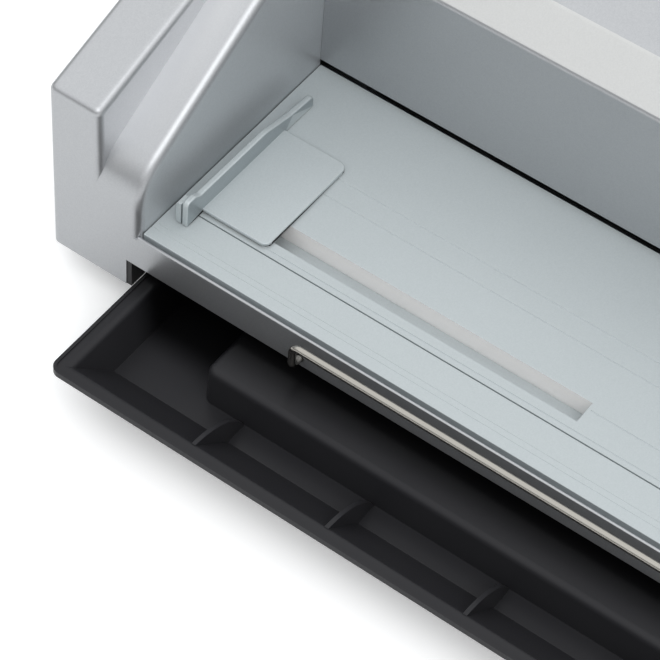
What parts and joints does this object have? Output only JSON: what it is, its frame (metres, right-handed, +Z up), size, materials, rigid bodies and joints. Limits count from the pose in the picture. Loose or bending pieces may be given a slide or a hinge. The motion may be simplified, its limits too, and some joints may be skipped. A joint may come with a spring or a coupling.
{
  "type": "electric hole punch",
  "caption": "Low desktop electric punch for binding holes: flat sheet bed between two end blocks, punch head behind, sliding edge guide, pull-out wire support and chip tray.",
  "frame": {"origin": "on the desk under the middle of the whole object, with its chip tray drawn out as far as it stands at rest", "axes": "+X to the operator's right, +Y to the back, +Z up"},
  "size_m": [0.424, 0.3556, 0.1619],
  "materials": {
    "silver_cover": "semi-gloss silver-grey",
    "bed_metal": "satin, clear lacquered",
    "chrome_wire": "bright plated",
    "black_tray": "fine-textured black",
    "black_plastic": "moulded black",
    "black_gloss": "smooth black",
    "rubber": "matt black",
    "zinc_steel": "zinc plated",
    "ground_steel": "ground",
    "nylon": "natural nylon",
    "bronze": "sintered bronze",
    "gear_plastic": "acetal",
    "gearbox_cast": "die cast",
    "motor_can": "zinc plated can",
    "board": "solder-masked laminate",
    "board_black": "moulded black",
    "core_steel": "varnished laminations",
    "panel_grey": "matt overlay film",
    "green_lens": "translucent green"
  },
  "bodies": {
    "machine": {"housing": "silver_cover", "head_cover": "silver_cover", "rear_cover": "silver_cover", "base_pan": "zinc_steel", "feet": "rubber", "cover_screws": "zinc_steel", "bed_front_strip": "bed_metal", "bed_plate": "bed_metal", "guide_channel": "bed_metal", "wire_guides": "nylon", "left_tray_runner": "black_plastic", "right_tray_runner": "black_plastic", "left_side_frame": "zinc_steel", "right_side_frame": "zinc_steel", "die_block": "ground_steel", "throat_spacers": "ground_steel", "depth_stop": "zinc_steel", "pin_guide_bar": "ground_steel", "bar_screws": "zinc_steel", "frame_screws": "zinc_steel", "guide_posts": "ground_steel", "left_bearing": "bronze", "right_bearing": "bronze", "gearbox": "gearbox_cast", "motor_body": "motor_can", "motor_bracket": "zinc_steel", "motor_screws": "zinc_steel", "limit_switch": "board_black", "control_board": "board", "board_parts": "board_black", "board_standoffs": "nylon", "transformer": "core_steel", "power_inlet": "black_plastic", "switch_frame": "black_plastic", "control_panel": "panel_grey", "button_switches": "board_black", "ready_lamp": "green_lens"},
    "chip_tray": {"chip_tray": "black_tray"},
    "support_wire": {"support_wire": "chrome_wire", "wire_collars": "zinc_steel"},
    "edge_guide": {"edge_guide": "silver_cover", "guide_slider": "nylon", "guide_screws": "zinc_steel"},
    "punch_carriage": {"punch_beam": "ground_steel", "pin_retainer": "ground_steel", "retainer_screws": "zinc_steel", "punch_pins": "ground_steel", "beam_bushes": "bronze", "left_yoke": "ground_steel", "right_yoke": "ground_steel", "yoke_screws": "zinc_steel"},
    "drive_shaft": {"drive_shaft": "ground_steel", "left_eccentric": "ground_steel", "right_eccentric": "ground_steel", "drive_gear": "gear_plastic", "stroke_cam": "gear_plastic"},
    "motor_pinion": {"motor_pinion": "ground_steel"},
    "punch_button": {"punch_button": "black_gloss"},
    "reverse_button": {"reverse_button": "black_gloss"},
    "power_switch": {"power_switch": "black_gloss"}
  },
  "joints": [
    {"name": "tray_slide", "type": "slide", "parent": "machine", "child": "chip_tray", "axis": [0, -1, 0], "range_m": [-0.053, 0.06]},
    {"name": "wire_slide", "type": "slide", "parent": "machine", "child": "support_wire", "axis": [0, -1, 0], "range_m": [0, 0.073]},
    {"name": "guide_slide", "type": "slide", "parent": "machine", "child": "edge_guide", "axis": [1, 0, 0], "range_m": [-0.005, 0.12]},
    {"name": "punch_stroke", "type": "slide", "parent": "machine", "child": "punch_carriage", "axis": [0, 0, -1], "range_m": [0, 0.0062]},
    {"name": "shaft_turn", "type": "hinge", "parent": "machine", "child": "drive_shaft", "pos_m": [0, 0.01525, 0.097], "axis": [1, 0, 0], "range_deg": [0, 180.2]},
    {"name": "pinion_turn", "type": "hinge", "parent": "machine", "child": "motor_pinion", "pos_m": [-0.19, 0.06025, 0.097], "axis": [1, 0, 0], "range_deg": [-495.5, 0]},
    {"name": "punch_button_press", "type": "slide", "parent": "machine", "child": "punch_button", "axis": [0, 0.3091, -0.951], "range_m": [0, 0.0012], "stiffness_N_per_m": 500},
    {"name": "reverse_button_press", "type": "slide", "parent": "machine", "child": "reverse_button", "axis": [0, 0.3091, -0.951], "range_m": [0, 0.0012], "stiffness_N_per_m": 500},
    {"name": "power_rock", "type": "hinge", "parent": "machine", "child": "power_switch", "pos_m": [0.108, 0.17195, 0.04], "axis": [1, 0, 0], "range_deg": [0, 16]}
  ],
  "couplings": [
    {"joint": "shaft_turn", "follows": "punch_stroke", "rad_per_m": 506.71},
    {"joint": "pinion_turn", "follows": "punch_stroke", "rad_per_m": -1393.4}
  ]
}
